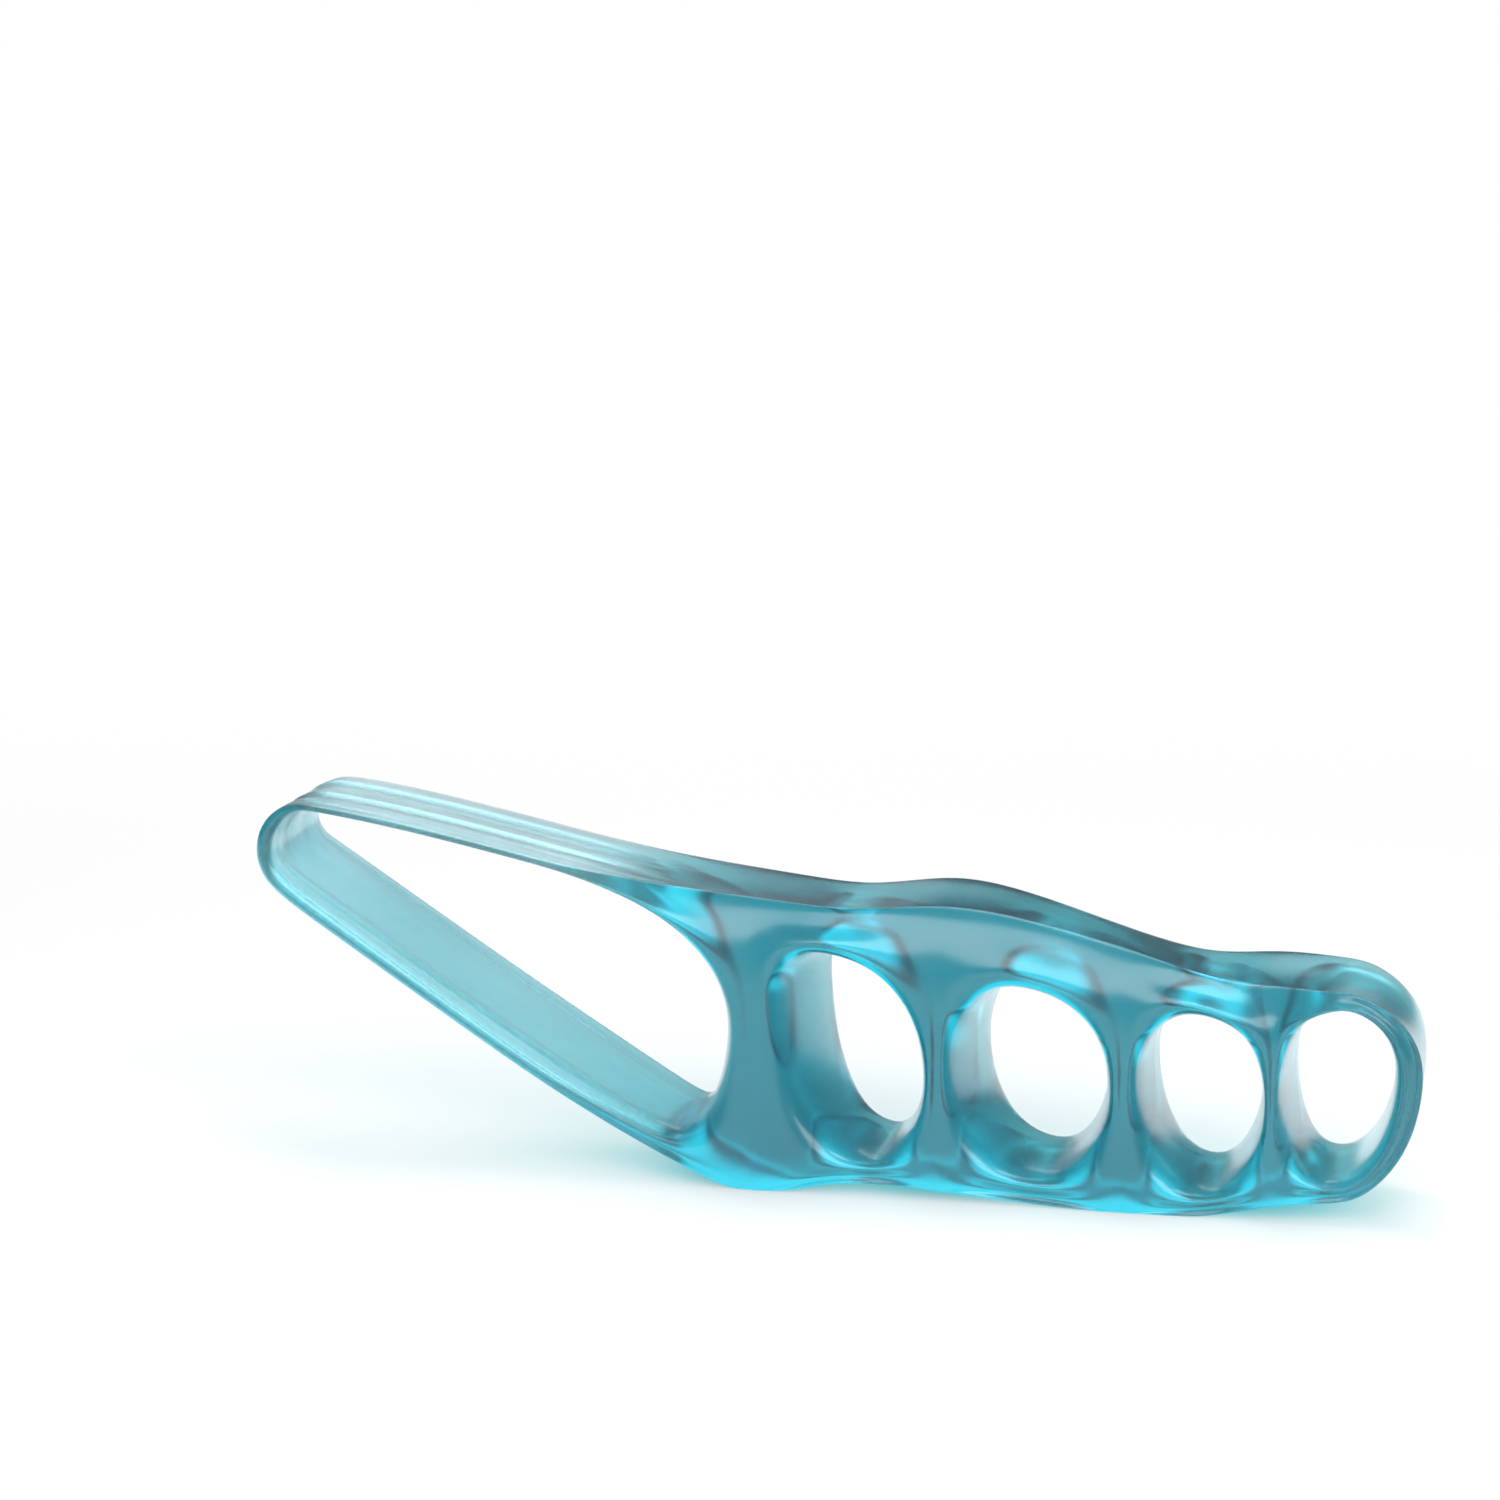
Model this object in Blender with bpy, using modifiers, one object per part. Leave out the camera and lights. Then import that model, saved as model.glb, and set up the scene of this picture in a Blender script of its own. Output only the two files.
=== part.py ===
"""Toe separator: one soft gel moulding with a pulled-out big-toe loop and four toe holes.

The moulding is a row of loops that share their walls. Each loop is a closed band round one toe:
a ring of columns, and in every column a ring of rows that goes round the band's own section.
Neighbouring loops meet at the middle of the post between them, where their columns are welded.
The coarse cage that this gives is rounded by Subdivision Surface.

Seen from the front, where the toes come out: +X to the little toe, +Y to the heel, +Z up.
The origin is under the middle of the moulding, on the surface that it stands on.
"""
import math

import bmesh
import bpy
import numpy as np

MM = 0.001

# Body, from the second toe to the little toe
BODY_DEPTH = 22.0 * MM
HOLE_WIDTHS = np.array([18.5, 19.5, 15.3, 13.5]) * MM
HOLE_HEIGHTS = np.array([25.0, 22.6, 21.2, 21.2]) * MM
POST_WAISTS = np.array([5.8, 3.1, 3.4, 1.9]) * MM
END_WALL = 3.6 * MM

# Bands over and under the toes, thickness at each hole
TOP_WEBS = np.array([5.9, 8.4, 5.3, 2.3]) * MM
FLOOR_WEBS = np.array([3.0, 3.7, 3.4, 2.4]) * MM

# Waves of the top edge at the posts, and of the back edge against the front one
CREST_RISES = np.array([0.7, 1.1, -0.2, -0.7]) * MM
BACK_RISES_AT_POSTS = np.array([0.6, 0.9, -1.0, 1.4]) * MM
BACK_RISES_AT_HOLES = np.array([0.1, -0.2, -0.6, 0.6]) * MM
TOP_DISH = 0.5 * MM

# Height of the underside above the surface, which only the two feet touch
UNDERSIDE_AT_POSTS = np.array([-0.9, 1.6, 0.0, 2.2]) * MM
UNDERSIDE_AT_HOLES = np.array([2.1, 0.8, 0.3, 3.2]) * MM
FOOT_PRESS = 0.4 * MM

# Slant of each hole: its top and floor against its middle, and its widest heights over its floor
HOLE_TOP_SHIFTS = np.array([-4.3, -2.5, -0.8, 0.0]) * MM
HOLE_FLOOR_SHIFTS = np.array([3.0, 2.0, 1.0, -1.0]) * MM
HOLE_LEFT_HEIGHTS = np.array([20.2, 13.2, 13.6, 12.0]) * MM
HOLE_RIGHT_HEIGHTS = np.array([9.9, 11.2, 11.6, 13.4]) * MM

# How far the posts widen towards the heel, on their little-toe and big-toe sides
POST_FLARES_RIGHT = np.array([4.2, 2.9, 1.2, 1.2]) * MM
POST_FLARES_LEFT = np.array([2.4, 1.6, 1.4, 1.0]) * MM
MIDDLE_FLARE = 0.6

# Edges
RIM_ROUND = 2.5 * MM
SHOULDER = 3.6 * MM
RIDGE_SETBACK = 2.0 * MM
EDGE_ROUND = 1.1 * MM
RIDGE_SHARPNESS = 0.45
RIM_SHARE = 0.55
RIM_DEPTH_SHARE = 0.8
SHOULDER_SHARE = 0.45

# Big-toe loop, as it is held pulled out
LOOP_REACH = 59.9 * MM
TIP_RADIUS = 4.0 * MM
TIP_HEIGHT = 41.0 * MM
STRAP_DEPTH = 19.0 * MM
UPPER_STRAP = 1.9 * MM
LOWER_STRAP = 2.4 * MM
UPPER_FILLET = 20.2 * MM
LOWER_FILLET = 9.0 * MM
UPPER_CORNER_TURN = math.radians(60)
LOWER_CORNER_TURN = math.radians(36)
FIRST_POST_WAIST_HEIGHT = 19.6 * MM
UPPER_SLOPES = (-0.12, -0.10)
LOWER_SLOPES = (-0.64, -0.47)
LOWER_STRAP_ROLL = math.radians(7.5)
ROLL_RUN = 0.4
STRAP_BLEND = 0.45
STRAP_EDGE_SHARE = 0.4

# Cage: columns on each of a hole's four sides, along a strap, round its fillet and round the tip
SIDE = 4
STRAP_COLUMNS = 7
UPPER_FILLET_COLUMNS = 3
LOWER_FILLET_COLUMNS = 2
TIP_COLUMNS = 6
LEAST_TURN = 0.01
WELD_GAP = 0.001 * MM
ROUNDING_LEVELS = 1

GEL_TINT = (0.10, 0.55, 0.66, 1.0)
GEL_ROUGHNESS = 0.12
GEL_IOR = 1.42


def post_centres():
    """X of the middle of each post, with the loop's tip at X = 0."""
    pitches = HOLE_WIDTHS[:-1] + (POST_WAISTS[:-1] + POST_WAISTS[1:]) / 2
    return LOOP_REACH + POST_WAISTS[0] / 2 + np.concatenate(([0], np.cumsum(pitches)))


POSTS = post_centres()
HOLE_LEFTS = POSTS + POST_WAISTS / 2
HOLE_RIGHTS = HOLE_LEFTS + HOLE_WIDTHS
HOLE_MIDDLES = (HOLE_LEFTS + HOLE_RIGHTS) / 2
FLOORS = UNDERSIDE_AT_HOLES + FLOOR_WEBS
CEILINGS = FLOORS + HOLE_HEIGHTS
CRESTS_AT_HOLES = CEILINGS + TOP_WEBS


def crests_at_posts():
    """Top edge over each post: midway between its neighbours' crests, plus its own rise."""
    before = np.concatenate(([CRESTS_AT_HOLES[0]], CRESTS_AT_HOLES[:-1]))
    return (before + CRESTS_AT_HOLES) / 2 + CREST_RISES


def smooth_through(x, at_posts, at_holes):
    """A smooth curve through one value at each post and each hole, in turn along X."""
    knots = np.stack([POSTS, HOLE_MIDDLES], 1).ravel()
    values = np.stack([at_posts, at_holes], 1).ravel()
    slopes = np.gradient(values, knots)
    x = np.clip(x, knots[0], knots[-1])
    k = np.clip(np.searchsorted(knots, x) - 1, 0, len(knots) - 2)
    span = knots[k + 1] - knots[k]
    u = (x - knots[k]) / span
    return hermite(u, values[k], values[k + 1], slopes[k] * span, slopes[k + 1] * span)


def hermite(u, start, end, start_slope, end_slope):
    """Cubic from start to end, with the given slopes over the whole run."""
    blend = u * u * (3 - 2 * u)
    return (start * (1 - blend) + end * blend
            + start_slope * u * (1 - u) ** 2 - end_slope * u * u * (1 - u))


def top_edge(x):
    return smooth_through(x, crests_at_posts(), CRESTS_AT_HOLES)


def underside(x):
    return smooth_through(x, UNDERSIDE_AT_POSTS, UNDERSIDE_AT_HOLES)


def back_rise(x):
    return smooth_through(x, BACK_RISES_AT_POSTS, BACK_RISES_AT_HOLES)


def top_shoulder(x):
    """Height of the sloped shoulder below the top edge, less where the band is thin."""
    at_posts = np.full(len(POSTS), SHOULDER)
    return smooth_through(x, at_posts, np.minimum(SHOULDER, TOP_WEBS * SHOULDER_SHARE))


def band_rows(loop):
    """Points of one loop, as rows x columns x 3. Rows go round the band's section:

    0 wall middle, 1 wall front, 2 front rim, 3 front face, 4 ridge, 5 outside middle,
    6 outside back, 7 back face, 8 back rim, 9 wall back.
    A column beside a post ends at rows 3 and 7, which lie on the middle of the post.
    """
    wall_front, wall_back = loop["wall_front"], loop["wall_back"]
    wall_middle = wall_front + (wall_back - wall_front) * MIDDLE_FLARE
    outer, normal, half = loop["outer"], loop["normal"], loop["half"]
    outside = loop["outside"][:, None]
    shoulder, edge = loop["shoulder"][:, None], loop["edge"][:, None]
    rise, dish = loop["rise"][:, None], loop["dish"][:, None]
    front_face = np.where(outside, outer - normal * shoulder, loop["post_front"])
    back_face = np.where(outside, outer + normal * (rise - edge), loop["post_back"])
    front_gap, back_gap = distance(wall_front, front_face), distance(wall_back, back_face)
    front_rim = np.minimum(RIM_ROUND, front_gap * RIM_SHARE) / front_gap
    back_rim = np.minimum(EDGE_ROUND, back_gap * RIM_SHARE) / back_gap
    rim_depth = np.minimum(RIM_ROUND, np.maximum(front_gap, EDGE_ROUND) * RIM_DEPTH_SHARE)[:, 0]
    setback = (shoulder * RIDGE_SETBACK / SHOULDER)[:, 0]
    sections = [
        (wall_middle, 0 * half),
        (wall_front, rim_depth - half),
        (wall_front + (front_face - wall_front) * front_rim, -half),
        (front_face, -half),
        (outer, setback - half),
        (outer - normal * dish, 0 * half),
        (outer + normal * rise, half - edge[:, 0]),
        (back_face, half),
        (wall_back + (back_face - wall_back) * back_rim, half),
        (wall_back, half - EDGE_ROUND),
    ]
    rows = np.stack([np.stack([p[:, 0], y, p[:, 1]], 1) for p, y in sections])
    lean = -np.tan(loop["roll"]) * rows[:, :, 1]
    rows[:, :, 0] += lean * normal[:, 0]
    rows[:, :, 2] += lean * normal[:, 1]
    return rows


def distance(start, end):
    return np.linalg.norm(end - start, axis=1, keepdims=True)


def oval(hole, angle, flare_left, flare_right):
    """Outline of a hole: four quarter ellipses between its top, right, floor and left points.

    The flares of the posts beside it narrow the hole, and its slant shrinks with its width.
    """
    left, right = HOLE_LEFTS[hole] + flare_left, HOLE_RIGHTS[hole] - flare_right
    middle, floor = (left + right) / 2, FLOORS[hole]
    slant = (right - left) / HOLE_WIDTHS[hole]
    rightward, upward = np.sin(angle) >= 0, np.cos(angle) >= 0
    side_x = np.where(rightward, right, left)
    side_z = floor + np.where(rightward, HOLE_RIGHT_HEIGHTS[hole], HOLE_LEFT_HEIGHTS[hole])
    end_x = middle + slant * np.where(upward, HOLE_TOP_SHIFTS[hole], HOLE_FLOOR_SHIFTS[hole])
    end_z = np.where(upward, CEILINGS[hole], floor)
    x = end_x + (side_x - end_x) * np.abs(np.sin(angle))
    z = side_z + (end_z - side_z) * np.abs(np.cos(angle))
    return np.stack([x, z], 1)


def post_line(post, share):
    """Front and back points on the middle of a post, share 0 at its foot to 1 at its head."""
    x = POSTS[post]
    foot, head = underside(x) + EDGE_ROUND, top_edge(x)
    front = foot + share * (head - top_shoulder(x) - foot)
    back = foot + share * (head + back_rise(x) - EDGE_ROUND - foot)
    x = np.full(np.shape(share), x)
    return np.stack([x, front], 1), np.stack([x, back], 1)


def hole_loop(hole):
    """The loop round one toe hole. Columns run clockwise from the top of its left post."""
    step = np.arange(4 * SIDE)
    angle = (step / len(step) - 1 / 8) * 2 * math.pi
    side, share = np.divmod(step, SIDE)
    share = share / SIDE
    left = POSTS[hole]
    last = hole == len(HOLE_WIDTHS) - 1
    right = HOLE_RIGHTS[hole] + END_WALL if last else POSTS[hole + 1]
    x = np.choose(side, [left + share * (right - left), right, right + share * (left - right), left])
    over = (side == 0) | ((side == 1) & (share == 0))
    z = np.where(over, top_edge(x), underside(x))
    normal = np.stack([0 * x, np.where(over, 1.0, -1.0)], 1)
    post_front, post_back = post_line(hole, np.where(side == 3, share, 0.5))
    outside = (side != 3) | (share == 0)
    if last:
        x, z, normal = end_wall(angle, x, z, normal)
        right_flare = 0.0
    else:
        beside = (side == 1) & (share > 0)
        fronts, backs = post_line(hole + 1, 1 - share)
        post_front = np.where(beside[:, None], fronts, post_front)
        post_back = np.where(beside[:, None], backs, post_back)
        outside = outside & ~beside
        right_flare = POST_FLARES_LEFT[hole + 1]
    upper = np.clip(normal[:, 1], 0, 1)
    return {
        "wall_front": oval(hole, angle, 0.0, 0.0),
        "wall_back": oval(hole, angle, POST_FLARES_RIGHT[hole], right_flare),
        "outer": np.stack([x, z], 1),
        "normal": normal,
        "post_front": post_front,
        "post_back": post_back,
        "outside": outside,
        "half": np.full(len(x), BODY_DEPTH / 2),
        "shoulder": EDGE_ROUND + upper * (top_shoulder(x) - EDGE_ROUND),
        "edge": np.full(len(x), EDGE_ROUND),
        "rise": upper * back_rise(x),
        "dish": upper * TOP_DISH,
        "roll": 0 * x,
    }


def end_wall(angle, x, z, normal):
    """Bends the little toe's outer points round the end: an upper and a lower quarter ellipse."""
    middle = HOLE_MIDDLES[-1]
    reach = HOLE_RIGHTS[-1] + END_WALL - middle
    widest = FLOORS[-1] + HOLE_RIGHT_HEIGHTS[-1]
    top, bottom = top_edge(middle), underside(middle)
    bent = np.sin(angle) > LEAST_TURN
    rise = np.where(np.cos(angle) >= 0, top - widest, widest - bottom)
    x = np.where(bent, middle + reach * np.sin(angle), x)
    z = np.where(bent, widest + rise * np.cos(angle), z)
    outward = np.stack([np.sin(angle), np.cos(angle)], 1)
    return x, z, np.where(bent[:, None], outward, normal)


def strap(start, end, slopes):
    """Outside of a strap from the tip to the first post, with the normals on its upper side."""
    run = np.linspace(0, 1, STRAP_COLUMNS + 1)
    length = end[0] - start[0]
    x = start[0] + run * length
    z = hermite(run, start[1], end[1], slopes[0] * length, slopes[1] * length)
    slope = np.gradient(z, x, edge_order=2)
    normal = np.stack([-slope, np.ones_like(x)], 1) / np.hypot(slope, 1)[:, None]
    return np.stack([x, z], 1), normal


def fillet_turns(corner_turn, fillet_columns, post_columns, waist):
    """Each column's angle round a fillet, 0 on the strap and 90 degrees at the post's waist.

    The waist's own column is counted for one of the two fillets only.
    """
    on_strap = np.linspace(0, corner_turn, fillet_columns + 1)[1:]
    on_post = np.linspace(corner_turn, math.pi / 2, post_columns + 1)[1:]
    return np.concatenate([on_strap, on_post if waist else on_post[:-1]])


def strap_inside(outside, normal, thick, fillet, turns, fillet_columns):
    """Inside of a strap: parallel to its outside, then an elliptic fillet into the first post.

    Returns its points, and how much of the post's flare each of them takes.
    """
    line = outside - normal * thick
    wall = POSTS[0] - POST_WAISTS[0] / 2
    straight = np.linspace(line[0, 0], wall - fillet, STRAP_COLUMNS + 1 - fillet_columns)
    turn = np.concatenate([0 * straight, turns])
    x = np.concatenate([straight, wall - fillet * (1 - np.sin(turns))])
    rise = FIRST_POST_WAIST_HEIGHT - np.interp(wall, line[:, 0], line[:, 1])
    z = np.interp(x, line[:, 0], line[:, 1]) + rise * (1 - np.cos(turn))
    return np.stack([x, z], 1), np.sin(turn) ** 2


def around(angle, radius, centre):
    return centre + radius * np.stack([np.cos(angle), np.sin(angle)], -1)


def big_toe_loop():
    """The pulled-out loop. Columns run clockwise from the tip's upper side:
    along the upper strap, down the first post, back along the lower strap and round the tip.
    """
    post_x = POSTS[0]
    centre = np.array([TIP_RADIUS + LOWER_STRAP, TIP_HEIGHT])
    upper_turn = math.pi / 2 + math.atan(UPPER_SLOPES[0])
    lower_turn = 3 * math.pi / 2 + math.atan(LOWER_SLOPES[0])
    upper_start = around(upper_turn, TIP_RADIUS + UPPER_STRAP, centre)
    lower_start = around(lower_turn, TIP_RADIUS + LOWER_STRAP, centre)
    upper, upper_normal = strap(upper_start, (post_x, top_edge(post_x)), UPPER_SLOPES)
    lower, lower_normal = strap(lower_start, (post_x, underside(post_x)), LOWER_SLOPES)
    upper_normal[-1] = lower_normal[-1] = (0, 1)
    upper_turns = fillet_turns(UPPER_CORNER_TURN, UPPER_FILLET_COLUMNS, SIDE // 2, True)
    lower_turns = fillet_turns(LOWER_CORNER_TURN, LOWER_FILLET_COLUMNS, SIDE - SIDE // 2, False)
    upper_inside, upper_flare = strap_inside(
        upper, upper_normal, UPPER_STRAP, UPPER_FILLET, upper_turns, UPPER_FILLET_COLUMNS)
    lower_inside, lower_flare = strap_inside(
        lower, -lower_normal, LOWER_STRAP, LOWER_FILLET, lower_turns, LOWER_FILLET_COLUMNS)

    tip = np.linspace(0, 1, TIP_COLUMNS + 1)[1:-1]
    tip_angle = lower_turn + tip * (upper_turn - lower_turn)
    tip_radius = TIP_RADIUS + (LOWER_STRAP + tip * (UPPER_STRAP - LOWER_STRAP))[:, None]
    tip_inside = around(tip_angle, TIP_RADIUS, centre)
    tip_normal = around(tip_angle, 1.0, np.zeros(2))

    straps, post = np.ones(STRAP_COLUMNS + 1), np.ones(SIDE - 1)
    run = np.linspace(0, 1, STRAP_COLUMNS + 1)
    fronts, backs = post_line(0, 1 - np.arange(1, SIDE) / SIDE)
    no_post = np.zeros((STRAP_COLUMNS + 1, 2))
    sideways = np.tile([1.0, 0.0], (SIDE - 1, 1))
    along = np.concatenate([run, post, run[::-1], 0 * tip])
    upper_part = np.concatenate([straps, 0.5 * post, 0 * straps, tip])
    outside = np.concatenate([straps, 0 * post, straps, np.ones(len(tip))]) > 0
    near = np.clip(1 - (1 - along) / STRAP_BLEND, 0, 1)
    near = near * near * (3 - 2 * near)
    wall_front = np.concatenate([upper_inside, lower_inside[::-1], tip_inside])
    flare = np.concatenate([upper_flare, lower_flare[::-1], 0 * tip]) * POST_FLARES_LEFT[0]
    strap_edge = UPPER_STRAP * STRAP_EDGE_SHARE
    body_shoulder = EDGE_ROUND + upper_part * (top_shoulder(post_x) - EDGE_ROUND)
    return {
        "wall_front": wall_front,
        "wall_back": wall_front - np.stack([flare, 0 * flare], 1),
        "outer": np.concatenate([upper, fronts, lower[::-1], centre + tip_normal * tip_radius]),
        "normal": np.concatenate([upper_normal, sideways, -lower_normal[::-1], tip_normal]),
        "post_front": np.concatenate([no_post, fronts, no_post, 0 * tip_normal]),
        "post_back": np.concatenate([no_post, backs, no_post, 0 * tip_normal]),
        "outside": outside,
        "half": (STRAP_DEPTH + near * (BODY_DEPTH - STRAP_DEPTH)) / 2,
        "shoulder": strap_edge + near * (body_shoulder - strap_edge),
        "edge": strap_edge + near * (EDGE_ROUND - strap_edge),
        "rise": near * upper_part * back_rise(post_x),
        "dish": near * upper_part * TOP_DISH,
        "roll": outside * LOWER_STRAP_ROLL * (1 - upper_part) * np.clip((1 - along) / ROLL_RUN, 0, 1),
    }


def add_loop(cage, crease, loop):
    """Adds one loop's columns to the cage, and the faces between each column and the next."""
    rows = band_rows(loop)
    outside = loop["outside"]
    count = len(outside)
    post_rows = (7, 8, 9, 0, 1, 2, 3)
    verts = {}
    for column in range(count):
        for row in range(len(rows)):
            if outside[column] or row in post_rows:
                verts[row, column] = cage.verts.new(rows[row, column])
    for column in range(count):
        after = (column + 1) % count
        whole = outside[column] and outside[after]
        section = tuple(range(len(rows))) + (0,) if whole else post_rows
        for row, next_row in zip(section, section[1:]):
            corners = ((row, column), (row, after), (next_row, after), (next_row, column))
            cage.faces.new([verts[corner] for corner in corners])
        if whole:
            upward = loop["normal"][column, 1] + loop["normal"][after, 1] > 0
            ridge = cage.edges.get((verts[4, column], verts[4, after]))
            ridge[crease] = RIDGE_SHARPNESS if upward else 0.0


def build_cage():
    """The welded cage of all five loops, as a mesh."""
    cage = bmesh.new()
    crease = cage.edges.layers.float.new("crease_edge")
    add_loop(cage, crease, big_toe_loop())
    for hole in range(len(HOLE_WIDTHS)):
        add_loop(cage, crease, hole_loop(hole))
    bmesh.ops.remove_doubles(cage, verts=cage.verts, dist=WELD_GAP)
    bmesh.ops.recalc_face_normals(cage, faces=cage.faces)
    mesh = bpy.data.meshes.new("toe_separator_cage")
    cage.to_mesh(mesh)
    cage.free()
    return mesh


def rounded(cage):
    """The cage after Subdivision Surface, stood on its feet with the origin under its middle."""
    former = bpy.data.objects.new("former", cage)
    bpy.context.scene.collection.objects.link(former)
    rounding = former.modifiers.new("rounding", "SUBSURF")
    rounding.levels = ROUNDING_LEVELS
    rounding.render_levels = ROUNDING_LEVELS
    bpy.context.view_layer.update()
    graph = bpy.context.evaluated_depsgraph_get()
    mesh = bpy.data.meshes.new_from_object(former.evaluated_get(graph))
    bpy.data.objects.remove(former)
    points = np.empty(len(mesh.vertices) * 3)
    mesh.vertices.foreach_get("co", points)
    points = points.reshape(-1, 3)
    middle = (points.min(0) + points.max(0)) / 2
    points -= (middle[0], middle[1], points[:, 2].min() + FOOT_PRESS)
    points[:, 2] = np.maximum(points[:, 2], 0)
    mesh.vertices.foreach_set("co", points.ravel())
    mesh.update()
    return mesh


def gel():
    """Clear aqua-tinted gel."""
    material = bpy.data.materials.new("aqua_gel")
    material.use_nodes = True
    shader = material.node_tree.nodes["Principled BSDF"]
    shader.inputs["Base Color"].default_value = GEL_TINT
    shader.inputs["Roughness"].default_value = GEL_ROUGHNESS
    shader.inputs["Metallic"].default_value = 0.0
    shader.inputs["IOR"].default_value = GEL_IOR
    shader.inputs["Transmission Weight"].default_value = 1.0
    return material


for old in list(bpy.data.objects):
    bpy.data.objects.remove(old)
collection = bpy.data.collections.new("toe_separator")
bpy.context.scene.collection.children.link(collection)
body = rounded(build_cage())
body.name = "toe_separator"
body.materials.clear()
body.materials.append(gel())
body.shade_smooth()
separator = bpy.data.objects.new("toe_separator", body)
collection.objects.link(separator)
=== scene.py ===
"""Looks of a toe separator: one soft moulding of clear aqua gel on a pale studio floor.

Its big-toe loop is drawn out, as for fitting. Metres; +X to the little toe's end, +Y to the back.
"""
import math

import bmesh
import bpy
import numpy as np
from mathutils import Matrix


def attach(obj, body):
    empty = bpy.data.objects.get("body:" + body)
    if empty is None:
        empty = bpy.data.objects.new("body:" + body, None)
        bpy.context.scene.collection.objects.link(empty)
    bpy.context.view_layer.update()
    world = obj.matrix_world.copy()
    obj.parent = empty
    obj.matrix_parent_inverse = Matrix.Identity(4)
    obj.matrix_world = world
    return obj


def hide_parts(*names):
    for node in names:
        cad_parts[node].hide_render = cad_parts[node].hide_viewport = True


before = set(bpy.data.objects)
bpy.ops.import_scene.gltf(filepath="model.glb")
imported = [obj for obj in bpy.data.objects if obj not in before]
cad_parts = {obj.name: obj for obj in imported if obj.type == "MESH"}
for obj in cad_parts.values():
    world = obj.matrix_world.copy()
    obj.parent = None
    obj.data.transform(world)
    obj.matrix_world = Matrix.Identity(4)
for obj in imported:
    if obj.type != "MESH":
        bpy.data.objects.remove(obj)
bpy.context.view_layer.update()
bpy.context.scene.view_settings.view_transform = "Standard"


# Camera
# A short telephoto lens a little above the separator and toward its little toe's end, as it was shot.
# The place comes from the photograph's pixel over which the part's own origin stands.
PHOTO_SIDE = 1500
LENS, SENSOR = 100.0, 36.0
AZIMUTH, ELEVATION, ROLL = math.radians(10.5), math.radians(9.2), math.radians(0.75)
ORIGIN_PIXEL = (836.0, 1174.0)
PIXELS_PER_METRE = 8000.0
NEAR_CLIP, FAR_CLIP = 0.01, 20.0


def camera_axes(azimuth, elevation, roll):
    """Right, up and backward axes: a level camera turned round +Z, raised, then rolled about its line."""
    level = np.array([math.cos(azimuth), math.sin(azimuth), 0.0])
    back = np.array([math.sin(azimuth) * math.cos(elevation),
                     -math.cos(azimuth) * math.cos(elevation), math.sin(elevation)])
    upright = np.cross(back, level)
    right = math.cos(roll) * level + math.sin(roll) * upright
    return right, np.cross(back, right), back


def place_camera():
    """The camera backs off along its own axis, then moves sideways until the origin is on its pixel."""
    right, up, back = camera_axes(AZIMUTH, ELEVATION, ROLL)
    distance = PHOTO_SIDE * LENS / SENSOR / PIXELS_PER_METRE
    aside = (ORIGIN_PIXEL[0] - PHOTO_SIDE / 2) / PIXELS_PER_METRE
    above = (PHOTO_SIDE / 2 - ORIGIN_PIXEL[1]) / PIXELS_PER_METRE
    data = bpy.data.cameras.new("studio_camera")
    data.lens, data.sensor_width = LENS, SENSOR
    data.clip_start, data.clip_end = NEAR_CLIP, FAR_CLIP
    camera = bpy.data.objects.new("studio_camera", data)
    bpy.context.scene.collection.objects.link(camera)
    matrix = np.eye(4)
    matrix[:3, :3] = np.stack([right, up, back], 1)
    matrix[:3, 3] = distance * back - aside * right - above * up
    camera.matrix_world = Matrix(matrix.tolist())
    bpy.context.scene.camera = camera


place_camera()


# Gel moulding
# The whole separator: one pour of soft clear gel, cast in a mould as a row of bands round the toes.
# A raised bead runs along the front of its top, and the big toe's band is drawn out thin and long.
MM = 0.001
BODY_DEPTH = 22.0 * MM
HOLE_WIDTHS = np.array([18.5, 19.5, 15.3, 13.5]) * MM
HOLE_HEIGHTS = np.array([25.0, 22.6, 21.2, 21.2]) * MM
POST_WAISTS = np.array([5.8, 3.1, 3.4, 1.9]) * MM
END_WALL = 3.6 * MM
TOP_WEBS = np.array([5.9, 8.4, 5.3, 2.3]) * MM
FLOOR_WEBS = np.array([3.0, 3.7, 3.4, 2.4]) * MM
CREST_RISES = np.array([0.7, 1.1, -0.2, -0.7]) * MM
BACK_RISES_AT_POSTS = np.array([0.6, 0.9, -1.0, 1.4]) * MM
BACK_RISES_AT_HOLES = np.array([0.1, -0.2, -0.6, 0.6]) * MM
TOP_DISH = 0.8 * MM
UNDERSIDE_AT_POSTS = np.array([-0.9, 1.6, 0.0, 2.2]) * MM
UNDERSIDE_AT_HOLES = np.array([2.1, 0.8, 0.3, 3.2]) * MM
FOOT_PRESS = 0.4 * MM
HOLE_TOP_SHIFTS = np.array([-4.3, -2.5, -0.8, 0.0]) * MM
HOLE_FLOOR_SHIFTS = np.array([3.0, 2.0, 1.0, -1.0]) * MM
HOLE_LEFT_HEIGHTS = np.array([20.2, 13.2, 13.6, 12.0]) * MM
HOLE_RIGHT_HEIGHTS = np.array([9.9, 11.2, 11.6, 13.4]) * MM
POST_FLARES_RIGHT = np.array([4.2, 2.9, 1.2, 1.2]) * MM
POST_FLARES_LEFT = np.array([2.4, 1.6, 1.4, 1.0]) * MM
MIDDLE_FLARE = 0.6
RIM_ROUND = 2.5 * MM
SHOULDER = 3.6 * MM
RIDGE_SETBACK = 4.2 * MM
EDGE_ROUND = 1.1 * MM
RIM_SHARE = 0.55
RIM_DEPTH_SHARE = 0.8
SHOULDER_SHARE = 0.45
LOOP_REACH = 59.9 * MM
TIP_RADIUS = 4.0 * MM
TIP_HEIGHT = 41.0 * MM
STRAP_DEPTH = 19.0 * MM
UPPER_STRAP = 1.9 * MM
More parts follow.
